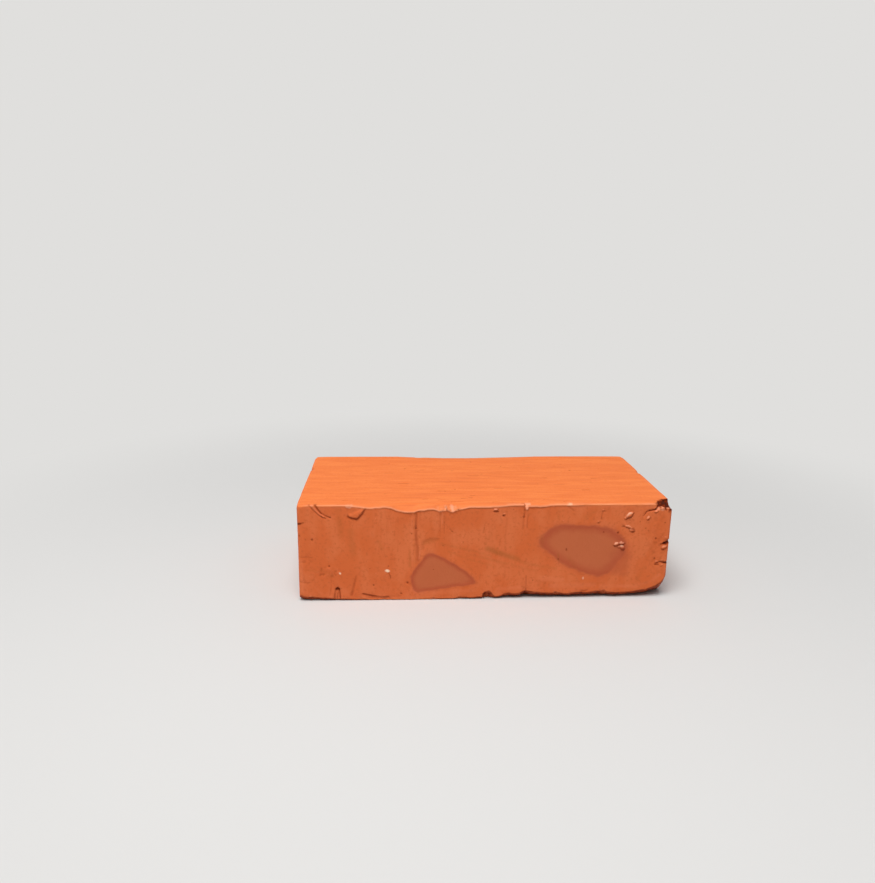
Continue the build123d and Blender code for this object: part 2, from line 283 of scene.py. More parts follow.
# Short tears that the wire dragged in the upper bed: where each starts, and how far it runs
TEARS = (
    (-20.2, -46.6, 7.2), (-14, -40.4, 8), (-36.6, -41.8, 3), (-27.6, -43.4, 4.2), (-84, -43.6, 4),
    (-8, -35.6, 5), (20.4, -50.4, 2), (25.6, -46.2, 2.4), (35, -43, 3.4), (4, -47.4, 4), (46, -47, 3),
    (-60.6, 11, 6.4), (17, 22.6, 4.6), (74, -1.8, 5), (-37.2, 17.7, 3), (40.9, -1.2, 4), (-52, -12, 7),
    (8, -22, 6), (62, -26, 5), (-6, 4, 7),
)

# How many triangles the finished skin has. Most of them go to the face that is seen
SKIN_TRIANGLES = 192000


def ease(low, high, value):
    """Soft step: 0 up to low and 1 from high on. It falls where high is the lower of the two."""
    part = np.clip((value - low) / (high - low), 0, 1)
    return part * part * (3 - 2 * part)


def soft_max(a, b, blend):
    """The larger of two fields, with the crease between them rounded."""
    overlap = np.maximum(blend - np.abs(a - b), 0)
    return np.maximum(a, b) + overlap * overlap / (4 * blend)


def bell(away, width):
    """1 at no distance away, falling off smoothly to either side."""
    return np.exp(-(away / width) ** 2)


def noise(points, size, seed):
    """Smooth noise from -1 to 1 at points, in lumps about size mm across, that each seed lays anew."""
    cells = points / np.asarray(size, float)
    base = np.floor(cells)
    part = cells - base
    part = part * part * (3 - 2 * part)
    base = base.astype(np.int64)
    total = np.zeros(len(points))
    for corner in itertools.product((0, 1), repeat=3):
        key = (base + corner) * (73856093, 19349663, 83492791)
        mixed = key[:, 0] ^ key[:, 1] ^ key[:, 2] ^ (seed * 2654435761)
        mixed = (mixed ^ (mixed >> 13)) * 1274126177
        value = ((mixed ^ (mixed >> 16)) & 0xFFFF) / 32767.5 - 1
        total += value * np.prod(np.where(corner, part, 1 - part), axis=1)
    return total


def flat_noise(u, v, size, seed):
    """Smooth noise over a face."""
    return noise(np.stack((u, v, np.full(len(u), 0.5)), axis=1), size, seed)


def station_values(stations, x):
    """The columns of a table of stations, read off at x."""
    columns = np.array(stations).T
    return [np.interp(x, columns[0], column) for column in columns[1:]]


class Relief:
    """Height of one face over its plane, and how torn, grimy, pale, stained or wire-cut its clay is, with
    painted shade and painted highlights among these marks.

    A face is laid out as u along the brick and v across it or up it, in mm.
    """

    FINISHES = "torn_and_highlight", "grime", "pale_and_highlight", "stain", "cut"

    def __init__(self, u, v):
        self.u, self.v = u, v
        self.height = np.zeros(len(u))
        for finish in self.FINISHES:
            setattr(self, finish, np.zeros(len(u)))

    def near(self, u, v, reach):
        """Indices of the points within reach of a place, and how far each lies from it along and across."""
        away_u, away_v = self.u - u, self.v - v
        at = np.flatnonzero((np.abs(away_u) < reach) & (np.abs(away_v) < reach))
        return at, away_u[at], away_v[at]

    def grain(self, at, size, seed):
        """Smooth noise at points of the face."""
        return flat_noise(self.u[at], self.v[at], size, seed)

    def mark(self, finish, strength, at=slice(None)):
        values = getattr(self, finish)
        values[at] = np.maximum(values[at], strength)

    def oval(self, u, v, length, breadth, tilt):
        """Points about an oval, how far out each lies, 1 at its rim, and how far it faces up and a little
        to the left, towards the lamp, for its painted highlight and shade.
        """
        at, away_u, away_v = self.near(u, v, max(length, breadth))
        cos, sin = math.cos(math.radians(tilt)), math.sin(math.radians(tilt))
        along = (away_u * cos + away_v * sin) / (length / 2)
        across = (away_v * cos - away_u * sin) / (breadth / 2)
        off = np.hypot(along, across)
        steep_along, steep_across = along / length, across / breadth
        steep_u = steep_along * cos - steep_across * sin
        steep_v = steep_along * sin + steep_across * cos
        upper = (0.94 * steep_v - 0.33 * steep_u) / (np.hypot(steep_u, steep_v) + 1e-9)
        return at, off + 0.28 * self.grain(at, 1.2, 51), upper * np.clip(off, 0, 1)

    def crumb(self, u, v, length, breadth, tilt, height):
        at, off, upper = self.oval(u, v, length, breadth, tilt)
        stands = height - np.median(self.height[at])
        crown = np.sqrt(1 - np.clip(off, 0, 1) ** 3)
        broken = 0.8 + 0.2 * self.grain(at, 1.3, 57)
        self.height[at] = np.maximum(self.height[at], height * crown * broken * (0.82 - 0.28 * upper))
        # Torn clay, lightened further where it faces the lamp as a painted highlight
        inside = 1 - ease(0.75, 1.05, off)
        highlit_crest = inside * ease(-0.1, 0.7, upper)
        self.mark("torn_and_highlight", highlit_crest * (0.4 + 0.4 * min(height, 1)), at)
        self.mark("pale_and_highlight", 0.32 * highlit_crest * max(stands, 0) ** 2, at)
        # Painted shade on the side away from the lamp, and painted shadow round the crumb's foot
        ring = ease(0.8, 1.0, off) * (1 - ease(1.1, 1.55, off))
        low = ease(0.1, -0.8, upper)
        shade = min(1.8 * max(stands, 0), 1)
        self.mark("grime", shade * np.maximum(ring * (0.25 + 0.75 * low), 0.8 * low * inside), at)

    def speck(self, u, v, length, breadth, tilt, strength):
        at, off, _ = self.oval(u, v, length, breadth, tilt)
        self.height[at] += 0.22 * np.clip(1 - off * off, 0, 1)
        self.mark("pale_and_highlight", strength * (1 - ease(0.6, 1.0, off)), at)

    def pit(self, u, v, radius):
        at, away_u, away_v = self.near(u, v, 3 * radius)
        off = np.hypot(away_u, away_v) / radius
        self.height[at] -= 0.7 * radius * np.clip(1 - off * off, 0, 1)
        # Painted shade in the pit
        self.mark("grime", 0.9 * (1 - ease(0.3, 1.2, off)), at)

    def line(self, path, start_width, end_width):
        """Points about a path, and how strongly the line covers each."""
        ends = np.array(path)
        widest = max(start_width, end_width)
        middle, reach = (ends.min(0) + ends.max(0)) / 2, np.ptp(ends, axis=0).max() / 2 + 2 * widest
        at, _, _ = self.near(*middle, reach)
        here = np.stack((self.u[at], self.v[at]), axis=1)
        nearest = np.full(len(at), 1e9)
        for i, (start, end) in enumerate(zip(ends[:-1], ends[1:])):
            run = end - start
            part = np.clip(((here - start) @ run) / (run @ run), 0, 1)
            away = np.hypot(*(here - start - part[:, None] * run).T)
            width = start_width + (end_width - start_width) * (i + part) / (len(ends) - 1)
            nearest = np.minimum(nearest, away / (width / 2))
        return at, 1 - ease(0.1, 1.0, nearest)

    def stroke(self, path, start_width, end_width, height, strength):
        at, line = self.line(path, start_width, end_width)
        uneven = 1 + 0.35 * self.grain(at, 2.6, 52)
        self.height[at] += height * line * uneven
        # A cut-in line is darkened, partly as the clay's own dark line and partly as painted shade in the
        # crease; a raised line is lightened as torn clay with a painted highlight
        self.mark("grime" if height < 0 else "torn_and_highlight", strength * line * uneven, at)

    def smear(self, finish, path, width, strength):
        at, line = self.line(path, width, width)
        patchy = 0.6 + 0.4 * self.grain(at, (7.0, 2.5, 1.0), 53)
        self.mark(finish, strength * line * patchy, at)

    def burr(self, path, width, height):
        at, line = self.line(path, width, 0.8 * width)
        broken = 0.85 + 0.15 * self.grain(at, 1.2, 59)
        self.height[at] = np.maximum(self.height[at], height * np.sqrt(line) * broken)
        shown = ease(0.15, 0.6, line)
        self.grime[at] *= 1 - shown
        self.mark("torn_and_highlight", shown, at)
        # Its pale share is a painted highlight on the torn clay
        self.mark("pale_and_highlight", 0.2 * shown * broken, at)

    def tear(self, u, v, run, depth=0.28):
        """Short drag of the wire: a shallow tear with its clay heaped beside it."""
        self.stroke(((u, v), (u + run / 2, v + 0.3), (u + run, v + 0.5)), 1.4, 0.6, -depth, 1.7 * depth)
        self.stroke(((u, v - 1.0), (u + run, v - 0.4)), 1.1, 0.8, 0.4 * depth, 0.7 * depth)

    def flake(self, middle, rounding, thickness, sides):
        at, away_u, away_v = self.near(*middle, reach=9.0)
        u, v = self.u[at], self.v[at]
        off = kiss_distance(u, v, (middle, rounding, thickness, sides)) + 0.25 * flat_noise(u, v, 1.6, 54)
        low_side = ease(0.0, 2.2, 0.35 * away_u - 0.9 * away_v)
        inside = 1 - ease(-0.5, 0.0, off)
        self.height[at] += thickness * inside * (0.15 + 0.85 * low_side)
        # Painted shadow along its rim on the lower right, the side away from the lamp
        rim = bell(off - 0.2, 0.6) * low_side
        self.height[at] -= 0.3 * rim
        self.mark("grime", 0.95 * rim, at)

    def roughen(self, u, v, half_u, half_v, strength):
        at, away_u, away_v = self.near(u, v, max(half_u, half_v))
        off = np.hypot(away_u / half_u, away_v / half_v)
        lumps = self.grain(at, 1.7, 55) + 0.7 * self.grain(at, 0.9, 56)
        inside = strength * (1 - ease(0.5, 1.0, off))
        self.height[at] += 0.16 * lumps * inside
        # Dips are darkened as painted shade and lumps lightened as torn clay with painted light
        self.mark("grime", 0.4 * np.clip(-lumps, 0, 1) * inside, at)
        self.mark("torn_and_highlight", 0.2 * np.clip(lumps, 0, 1) * inside, at)

    def kiss(self, mark):
        _, _, softness, _ = mark
        off = kiss_distance(self.u, self.v, mark)
        self.height += 0.07 * bell(off, 1.3 * softness)
        self.height -= 0.05 * (1 - ease(-2 * softness, 0, off))

    def lip(self):
        hang, dark = station_values(LIP_HANG, self.u)
        over = self.v - lip_foot(self.u, hang)
        self.height += lip_proud(hang) * ease(-0.1, 0.45, over)
        # Painted shadow under the lip's foot
        shadow = bell(over + 0.35, 0.42) * dark
        self.height -= 0.2 * shadow
        self.mark("grime", shadow)
        specked = ease(-0.1, 0.7, self.grain(slice(None), 1.7, 58)) * crumbly(self.u)
        edge = ease(-0.1, 0.3, over) * (1 - ease(0.6, 1.4, over))
        broken = ease(-0.1, 0.3, over) * (1 - ease(1.6, 3.4, over)) * specked
        # Painted highlight along the lip's lower edge; the crumbled stretch is torn clay with painted
        # highlights on it
        hanging = edge * ease(0.6, 1.4, hang)
        self.mark("torn_and_highlight", np.maximum(0.25 * hanging, 0.75 * broken))
        self.mark("pale_and_highlight", np.maximum(0.15 * hanging, 0.22 * broken))
        self.mark("cut", ease(0.1, 0.6, over) * ease(0.5, 1.2, hang))


def crumbly(x):
    """Share of the lip that is crumbled rather than smooth, at x."""
    return ease(-30, -27, x) * (1 - ease(-18, -15, x))


def lip_foot(x, hang):
    """Height of the lip's lower edge over the floor."""
    ragged = flat_noise(x, 0 * x, 2.6, 11) + 0.5 * flat_noise(x, 0 * x, 1.2, 12)
    return TOP - hang - (0.1 + 0.3 * crumbly(x)) * ragged * np.minimum(hang, 1.2)


def lip_proud(hang):
    """How far the lip's lower edge stands off the face."""
    return np.clip(0.1 + 0.18 * hang, 0, 0.95) * ease(0.3, 0.9, hang)


def kiss_distance(u, v, mark):
    """How far a point of a face lies outside a kiss mark, in mm."""
    (mark_u, mark_v), rounding, _, sides = mark
    distance = None
    for facing, offset in sides:
        turn = math.radians(facing)
        beyond = (u - mark_u) * math.cos(turn) + (v - mark_v) * math.sin(turn) - offset
        distance = beyond if distance is None else soft_max(distance, beyond, rounding)
    return distance


def scatter(relief, seed, low, high, pits, tears=0, lines=0):
    """Small marks that no one face owns: pits, tears along u and drawn lines along v."""
    chance = np.random.default_rng(seed)
    (low_u, low_v), (high_u, high_v) = low, high

    def spot():
        return chance.uniform(low_u, high_u), chance.uniform(low_v, high_v)

    for _ in range(pits):
        relief.pit(*spot(), chance.uniform(0.35, 0.7))
    for _ in range(tears):
        relief.tear(*spot(), chance.uniform(2.5, 8.0), chance.uniform(0.08, 0.24))
    for _ in range(lines):
        (u, v), run, depth = spot(), chance.uniform(6.0, 22.0), chance.uniform(0.08, 0.2)
        relief.stroke(((u, v), (u + 0.3, min(v + run, high_v))), 1.2, 0.8, -depth, 1.6 * depth)


def front_relief(x, z):
    relief = Relief(x, z)
    relief.lip()
    relief.flake(*FLAKE)
    for make, rows in ((relief.roughen, ROUGH_PATCHES), (relief.crumb, CRUMBS), (relief.speck, SPECKS),
                       (relief.pit, PITS), (relief.stroke, STROKES)):
        for row in rows:
            make(*row)
    for row in STAINS:
        relief.smear("stain", *row)
    for row in PALE_PATCHES:
        relief.smear("torn_and_highlight", *row)
    for row in BURRS:
        relief.burr(*row)
    for mark in KISS_MARKS:
        relief.kiss(mark)
    return relief


def back_relief(x, z):
    relief = Relief(x, z)
    for mark in BACK_KISS_MARKS:
        relief.kiss(mark)
    scatter(relief, 61, (LEFT + 4, 3), (RIGHT - 4, TOP - 3), pits=14, lines=12)
    return relief


def upper_bed_relief(x, y):
    relief = Relief(x, y)
    for row in TEARS:
        relief.tear(*row, depth=0.32)
    scatter(relief, 62, (LEFT + 4, FRONT + 12), (RIGHT - 12, BACK - 4), pits=12, tears=18)
    return relief


def plain_face(*spread, **counts):
    """Relief of a face that carries only small scattered marks."""
    def face_relief(u, v):
        relief = Relief(u, v)
        scatter(relief, *spread, **counts)
        return relief
    return face_relief


# Each face: the axis that it crosses, the way that it faces, and its relief
FACES = (
    (0, -1, plain_face(65, (FRONT + 4, 3), (BACK - 4, TOP - 6), pits=8, lines=8)),
    (0, 1, plain_face(64, (FRONT + 4, 3), (BACK - 4, TOP - 6), pits=9, lines=9)),
    (1, -1, front_relief), (1, 1, back_relief),
    (2, -1, plain_face(63, (LEFT + 4, FRONT + 14), (RIGHT - 12, BACK - 4), pits=14, tears=26)),
    (2, 1, upper_bed_relief),
)
FACE_PLANES = ((LEFT, RIGHT), (FRONT, BACK), (0, TOP))


def reliefs(points, depth):
    """Each face with the points that lie within depth of it, and its relief at them."""
    for axis, way, face_relief in FACES:
        plane = FACE_PLANES[axis][way > 0]
        at = np.flatnonzero(way * (plane - points[:, axis]) < depth)
        along, across = (points[at, a] for a in range(3) if a != axis)
        yield axis, way, at, face_relief(along, across)


def within(points, low, high):
    """Indices of the points inside a box."""
    return np.flatnonzero(np.all((points > low) & (points < high), axis=1))


# A distance from missing clay that changes nothing, and how far from its middle a chip can reach
CLEAR = 9.0
CHIP_REACH = 8


def pressed(points, stations, face, bed):
    """How far a point lies behind the clay pressed off one arris, in mm."""
    x, y, z = points.T
    rise, reach = station_values(stations, x)
    across = np.abs(y - face) / reach
    up = np.abs(z - bed) / rise
    bowed = across + up - 1 + 0.5 * np.clip(across, 0, 1) * np.clip(up, 0, 1)
    return bowed * rise * reach / np.hypot(rise, reach)


def lip_slope(points):
    """How far a point lies under the slope that the lip runs down, in mm."""
    x, y, z = points.T
    hang, _ = station_values(LIP_HANG, x)
    over = z - lip_foot(x, hang)
    slope = over + FRONT - y - lip_proud(hang) - 0.1
    return -slope / math.sqrt(2) + 3 * (1 - ease(0.4, 1.4, hang))


def hollow_lump(points):
    """How near a point is to the lumps left in the corner hollow, from 0 to 1 in the middle of one."""
    near = np.zeros(len(points))
    for x, behind, z, size in HOLLOW_LUMPS:
        away = np.linalg.norm(points - (x, FRONT + behind, z), axis=1)
        near = np.maximum(near, bell(away, size))
    return near


def corner_hollow(points):
    """How far a point lies behind the hollow broken from the upper right corner, in mm."""
    off = np.linalg.norm((points - (RIGHT, FRONT, TOP)) / HOLLOW, axis=1)
    rough = 0.6 * noise(points, 2.8, 21) + 0.3 * noise(points, 1.2, 22)
    return (off - 1) * HOLLOW[2] + rough + 1.6 * hollow_lump(points)


def notch(points):
    """How far a point lies above the notch in the lower front arris, in mm."""
    x, y, z = points.T
    roof, = station_values(NOTCH_ROOF, x)
    depth = np.clip((y - FRONT) / 3.4, 0, None)
    lump = np.linalg.norm(points - (NOTCH_LUMP[0], FRONT + NOTCH_LUMP[1], NOTCH_LUMP[2]), axis=1)
    clear = (z - roof + 5.5 * depth ** 2) * 0.7 + 0.25 * noise(points, 1.3, 23)
    return clear + 1.6 * bell(lump, 1.6)


def nicks(points):
    """How far a point lies clear of the nicks in the upright front arrises, in mm."""
    x, y, z = points.T
    clear = np.full(len(points), CLEAR)
    for start, end, mouth in NICKS:
        part = (x - start[0]) / (end[0] - start[0])
        depth = (y - FRONT) / 2.6
        middle = start[1] + (end[1] - start[1]) * part
        open_by = mouth * np.minimum(1.3 * part, 1.3) - mouth * depth
        clear = np.minimum(clear, np.abs(z - middle) - open_by)
    return clear * 0.8


def chips(points):
    """How far a point lies clear of the small chips off the arrises, in mm."""
    clear = np.full(len(points), CLEAR)
    for middle, half in CHIPS:
        at = within(points, np.subtract(middle, CHIP_REACH), np.add(middle, CHIP_REACH))
        off = np.linalg.norm((points[at] - middle) / half, axis=1)
        clear[at] = np.minimum(clear[at], (off - 1) * min(half))
    return clear + 0.25 * noise(points, 1.6, 25)


# How far the boxes around missing clay reach out past the brick
PAST = 9

# Clay missing from the slice: its field, the box that it lies in, the softness of its edge, and
# how torn it is inside and how darkly it is painted there, mostly as painted shade in the hollows and under
# the worn foot, with some dirt
CUTS = (
    (lambda p: pressed(p, PRESSED_FRONT, FRONT, 0) + 0.15 * noise(p, 4.0, 24),
     (LEFT - PAST, FRONT - PAST, -PAST), (RIGHT + PAST, FRONT + 16, 30), 0.5, 0, 1.35),
    (lambda p: pressed(p, SAGGED_BACK, BACK, TOP),
     (LEFT - PAST, BACK - 16, TOP - 12), (RIGHT + PAST, BACK + PAST, TOP + PAST), 1.5, 0, 0),
    (lip_slope,
     (LEFT - PAST, FRONT - PAST, TOP - 12), (RIGHT + PAST, FRONT + 12, TOP + PAST), 0.9, 0, 0),
    (corner_hollow,
     (RIGHT - 13, FRONT - PAST, TOP - 9), (RIGHT + PAST, FRONT + 13, TOP + PAST), 0.3, 0.1, 1.9),
    (notch, (-4, FRONT - PAST, -PAST), (11, FRONT + 7, 9), 0.3, 0.15, 1.3),
    (nicks, (LEFT - PAST, FRONT - PAST, 16), (RIGHT + PAST, FRONT + 7, 56), 0.25, 0.1, 1.8),
    (chips, (LEFT - PAST, FRONT - PAST, -PAST), (RIGHT + PAST, BACK + PAST, TOP + PAST), 0.3, 0.3, 0.45),
)


def arris_radius(x, y, z, worn):
    """Radius of the arris nearest to a point, in mm."""
    level = np.where(z > MIDDLE, WIRE_ARRIS, BOARD_ARRIS) + worn
    upright = np.maximum(RIGHT - np.abs(x), BACK - np.abs(y))
    return level + (DIE_ARRIS + worn - level) * (1 - ease(2.0, 7.0, upright))


class Clay:
    """The brick's surface, told as how far points near it lie outside. Inside is less than nothing."""

    def __init__(self, points):
        """Takes the places where the surface is looked for, for what changes little nearby."""
        self.under = FACE_UNDER - LONG_WAVE * noise(points, 38.0, 41) - SHORT_WAVE * noise(points, 11.0, 42)
        self.worn = 0.28 * noise(points, 9.0, 31) + 0.12 * noise(points, 3.0, 32)

    def distance(self, points):
        x, y, z = points.T
        raised = np.zeros((len(points), 3))
        for axis, _, at, relief in reliefs(points, depth=6):
            raised[at, axis] = relief.height
        upper = z > MIDDLE
        planes = np.stack((np.abs(x) - RIGHT, np.abs(y) - BACK, np.where(upper, z - TOP, -z)), axis=1)
        under = np.stack((self.under, self.under, np.where(upper, 1, 0.4) * self.under), axis=1)
        radius = arris_radius(x, y, z, self.worn)
        outer = planes + under - raised + radius[:, None]
        distance = np.linalg.norm(np.maximum(outer, 0), axis=1) + np.minimum(outer.max(1), 0) - radius
        for field, low, high, softness, _, _ in CUTS:
            at = within(points, low, high)
            distance[at] = soft_max(distance[at], -field(points[at]), softness)
        return distance


def lattice_lines(low, high, coarse, zones):
    """Places from low to high, coarse mm apart, or closer inside zones of (start, end, step)."""
    fine = np.linspace(low, high, 8001)
    density = np.full(len(fine), 1 / coarse)
    for start, end, step in zones:
        density = np.maximum(density, np.where((fine > start) & (fine < end), 1 / step, 0))
    count = np.concatenate(([0], np.cumsum((density[1:] + density[:-1]) / 2 * np.diff(fine))))
    return np.interp(np.linspace(0, count[-1], math.ceil(count[-1]) + 1), count, fine)


def box_lattice(xs, ys, zs):
    """Vertices and quads of a closed box whose sides are ruled by the given lines."""
    counts = len(xs), len(ys), len(zs)
    index = np.full(counts, -1, np.int64)
    shell = np.zeros(counts, bool)
    sides = [(axis, end, tuple(end if a == axis else slice(None) for a in range(3)))
             for axis in range(3) for end in (0, -1)]
    for _, _, side in sides:
        shell[side] = True
    places = np.argwhere(shell)
    index[shell] = np.arange(len(places))
    points = np.stack([line[places[:, a]] for a, line in enumerate((xs, ys, zs))], axis=1)
    quads = []
    for axis, end, side in sides:
        net = index[side]
        ring = (net[:-1, :-1], net[1:, :-1], net[1:, 1:], net[:-1, 1:])
        flip = (end == 0) == (axis != 1)
        quads.append(np.stack(ring[::-1] if flip else ring, axis=-1).reshape(-1, 4))
    return points, np.concatenate(quads)


def settle(points):
    """Moves the box's points along rays from its core until they lie on the clay's surface."""
    core = 14.0
    allowance = 1.5
    halvings = 13
    heart = np.clip(points, (LEFT + core, FRONT + core, core), (RIGHT - core, BACK - core, TOP - core))
    ray = points - heart
    reach = np.linalg.norm(ray, axis=1)
    ray /= reach[:, None]
    clay = Clay(points)
    inner, outer = np.zeros(len(points)), reach + allowance
    for _ in range(halvings):
        half = (inner + outer) / 2
        inside = clay.distance(heart + ray * half[:, None]) < 0
        inner = np.where(inside, half, inner)
        outer = np.where(inside, outer, half)
    settled = heart + ray * ((inner + outer) / 2)[:, None]
    slack = 0.02
    low, high = np.array(cad_box) / MM
    return np.clip(settled, low + slack, high - slack)


def make_mesh(name, points, faces):
    mesh = bpy.data.meshes.new(name)
    mesh.from_pydata((points * MM).tolist(), [], faces.tolist())
    mesh.update()
    return mesh


def mesh_points(mesh):
    """Vertices of a mesh, in mm."""
    places = np.zeros(3 * len(mesh.vertices), np.float32)
    mesh.vertices.foreach_get("co", places)
    return places.reshape(-1, 3).astype(float) / MM


def link(thing):
    bpy.context.scene.collection.objects.link(thing)
    return thing


def thinned(mesh, triangles):
    """The mesh with flat and hidden stretches made of fewer, larger triangles."""
    rough = link(bpy.data.objects.new("rough_skin", mesh))
    points = mesh_points(mesh)
    shown = ease(FRONT + 14, FRONT + 2, points[:, 1])
    spare = rough.vertex_groups.new(name="spare")
    for level in range(11):
        members = np.flatnonzero(np.round(10 * shown) == level)
        spare.add(members.tolist(), 1 - 0.07 * level, "REPLACE")
    thin = rough.modifiers.new("thin", "DECIMATE")
    thin.ratio = triangles / (2 * len(mesh.polygons))
    thin.use_collapse_triangulate = True
    thin.vertex_group = spare.name
    thin.vertex_group_factor = 1.0
    result = bpy.data.meshes.new_from_object(rough.evaluated_get(bpy.context.evaluated_depsgraph_get()))
    bpy.data.objects.remove(rough)
    return result


def arris_gap(points):
    """How far a point lies from the nearest arris, in mm."""
    gaps = [np.minimum(line - low, high - line) for line, (low, high) in zip(points.T, FACE_PLANES)]
    return np.sort(gaps, axis=0)[:2].sum(axis=0)


def mark_finish(mesh):
    """Writes on the mesh where its clay is torn, grimy, pale, stained or wire-cut, and where painted shade
    and painted highlights lie.
    """
    points = mesh_points(mesh)
    finishes = {name: np.zeros(len(points)) for name in Relief.FINISHES}

    def add(name, strength, at=slice(None)):
        finishes[name][at] = np.maximum(finishes[name][at], strength)

    for axis, way, at, relief in reliefs(points, depth=4):
        off_plane = way * (FACE_PLANES[axis][way > 0] - points[at, axis])
        share = 1 - ease(1.5, 4.0, off_plane)
        for name in Relief.FINISHES:
            add(name, getattr(relief, name) * share, at)
    for field, low, high, _, torn_and_highlight, grime in CUTS:
        if torn_and_highlight or grime:
            at = within(points, low, high)
            off = np.abs(field(points[at]))
            patchy = 0.7 + 0.3 * noise(points[at], 1.5, 34)
            # Torn clay inside the missing clay, and darkening that is mostly painted shade with some dirt
            add("torn_and_highlight", torn_and_highlight * bell(off, 0.6), at)
            add("grime", grime * patchy * bell(off, 0.32), at)
    # The lumps in the corner hollow stand out of its painted shade as torn clay with a painted highlight
    corner = within(points, (RIGHT - 13, FRONT - PAST, TOP - 7), (RIGHT + PAST, FRONT + 9, TOP - 1))
    lump = ease(0.4, 0.75, hollow_lump(points[corner]))
    finishes["grime"][corner] *= 1 - 0.85 * lump
    add("torn_and_highlight", 0.9 * lump, corner)
    add("pale_and_highlight", 0.15 * lump, corner)
    gap = arris_gap(points)
    add("torn_and_highlight", 0.45 * bell(gap, 1.9) * (0.55 + 0.45 * noise(points, 6.0, 33)))
    # Painted highlight along the upper front arris, stronger towards the left
    highlight_strength = 0.6 + 0.4 * noise(points, (8.0, 3.0, 3.0), 35)
    highlight_strength *= np.interp(points[:, 0], (-85, 30), (1.5, 1.0))
    highlit_crest = (points[:, 1] < FRONT + 5) * ease(TOP - 0.9, TOP - 0.3, points[:, 2])
    add("cut", highlit_crest * bell(gap - 0.5, 0.9))
    add("torn_and_highlight", highlit_crest * 0.3 * bell(gap - 0.5, 0.8) * highlight_strength)
    add("pale_and_highlight", highlit_crest * 0.2 * bell(gap - 0.5, 0.6) * highlight_strength)
    finishes["pale_and_highlight"] *= 1 - 0.8 * np.clip(finishes["grime"], 0, 1)
    for name, values in finishes.items():
        mesh.attributes.new(name, "FLOAT", "POINT").data.foreach_set("value", values.astype(np.float32))


def fired_skin():
    """The brick's skin: settled clay, thinned where it is flat, with its finish, painted shade and painted
    highlights marked on it.
    """
    # The lines lie closer at the drawn lines, the burr, the crumbs, the gouge and the notch
    xs = lattice_lines(LEFT, RIGHT, 0.62, ((-44.0, -39.0, 0.35), (22.5, 28.0, 0.35), (76.0, 110.0, 0.45),
                                           (-106.0, -84.0, 0.42), (-2.0, 8.0, 0.4)))
    ys = lattice_lines(FRONT, BACK, 1.0, ((FRONT, FRONT + 11, 0.5), (BACK - 4, BACK, 0.6)))
    zs = lattice_lines(0, TOP, 0.6, ((0, 7, 0.42), (50, TOP, 0.36)))
    points, quads = box_lattice(xs, ys, zs)
    mesh = thinned(make_mesh("brick_lattice", settle(points), quads), SKIN_TRIANGLES)
    mesh.name = "brick_skin"
    mark_finish(mesh)
    mesh.shade_smooth()
    return link(bpy.data.objects.new("brick_skin", mesh))


class Nodes:
    """Adds nodes to a tree and joins them."""

    def __init__(self, tree):
        self.tree = tree

    def node(self, kind, **settings):
        made = self.tree.nodes.new("ShaderNode" + kind)
        for name, value in settings.items():
            setattr(made, name, value)
        return made

    def feed(self, socket, value):
        """Joins a socket to another, or sets it to a value."""
        if isinstance(value, bpy.types.NodeSocket):
            self.tree.links.new(value, socket)
        else:
            socket.default_value = value

    def fill(self, node, inputs):
        """Feeds a node's inputs, given by name, and gives the node."""
        for name, value in inputs.items():
            self.feed(node.inputs[name], value)
        return node

    def fed(self, kind, values, **settings):
        """Adds a node, feeds its first sockets in order, and gives its outputs."""
        made = self.node(kind, **settings)
        for socket, value in zip(made.inputs, values):
            self.feed(socket, value)
        return made.outputs

    def math(self, operation, *values, clamp=False):
        return self.fed("Math", values, operation=operation, use_clamp=clamp)[0]

    def times(self, first, second):
        return self.math("MULTIPLY", first, second)

    def tint(self, colour, new, mask, strength):
        """The colour with a new one laid over it, as strongly as the mask says."""
        return self.mix(self.times(mask, strength), colour, new)

    def vector(self, operation, *values):
        outputs = self.fed("VectorMath", values, operation=operation)
        return outputs["Value" if operation == "LENGTH" else "Vector"]

    def split(self, vector):
        return self.fed("SeparateXYZ", (vector,))

    def ramp(self, value, low, high):
        return self.fed("MapRange", (value, low, high), interpolation_type="SMOOTHSTEP")[0]

    def mix(self, share, first, second):
        made = self.node("Mix", data_type="RGBA")
        for socket, value in ((made.inputs[0], share), (made.inputs[6], first), (made.inputs[7], second)):
            self.feed(socket, value)
        return made.outputs[2]

    def noise(self, place, scale=1.0, **settings):
        inputs = {name.title(): value for name, value in settings.items()}
        made = self.fill(self.node("TexNoise"), {"Vector": place, "Scale": scale, **inputs})
        return made.outputs["Fac"]

    def attribute(self, name):
        return self.node("Attribute", attribute_name=name).outputs["Fac"]


def shown_colour(red, green, blue):
    """A colour as it is seen on a screen, from 0 to 255, in the linear values that nodes take."""
    return tuple((c / 255 / 12.92) if c < 10.3 else ((c / 255 + 0.055) / 1.055) ** 2.4
                 for c in (red, green, blue)) + (1.0,)


CLAY_ORANGE = shown_colour(211, 103, 54)
CLAY_PINK = shown_colour(216, 112, 65)
CLAY_BROWN = shown_colour(194, 94, 51)
BED_ORANGE = shown_colour(224, 117, 60)
BED_PALE = shown_colour(229, 125, 65)
BED_BROWN = shown_colour(202, 96, 49)
KISS_BROWN = shown_colour(190, 101, 64)
KISS_RIM = shown_colour(179, 81, 51)
# Torn clay, also used for painted highlights
TORN_AND_HIGHLIGHT_PINK = shown_colour(230, 132, 92)
# Grime, and painted shade in hollows, creases and under things
GRIME_AND_SHADE_BROWN = shown_colour(124, 38, 2)
# Deepest painted shade
DEEP_SHADE_BROWN = shown_colour(44, 14, 5)
# Lime, also used for painted highlights
LIME_AND_HIGHLIGHT_CREAM = shown_colour(255, 222, 190)
STAIN_OLIVE = shown_colour(168, 92, 44)


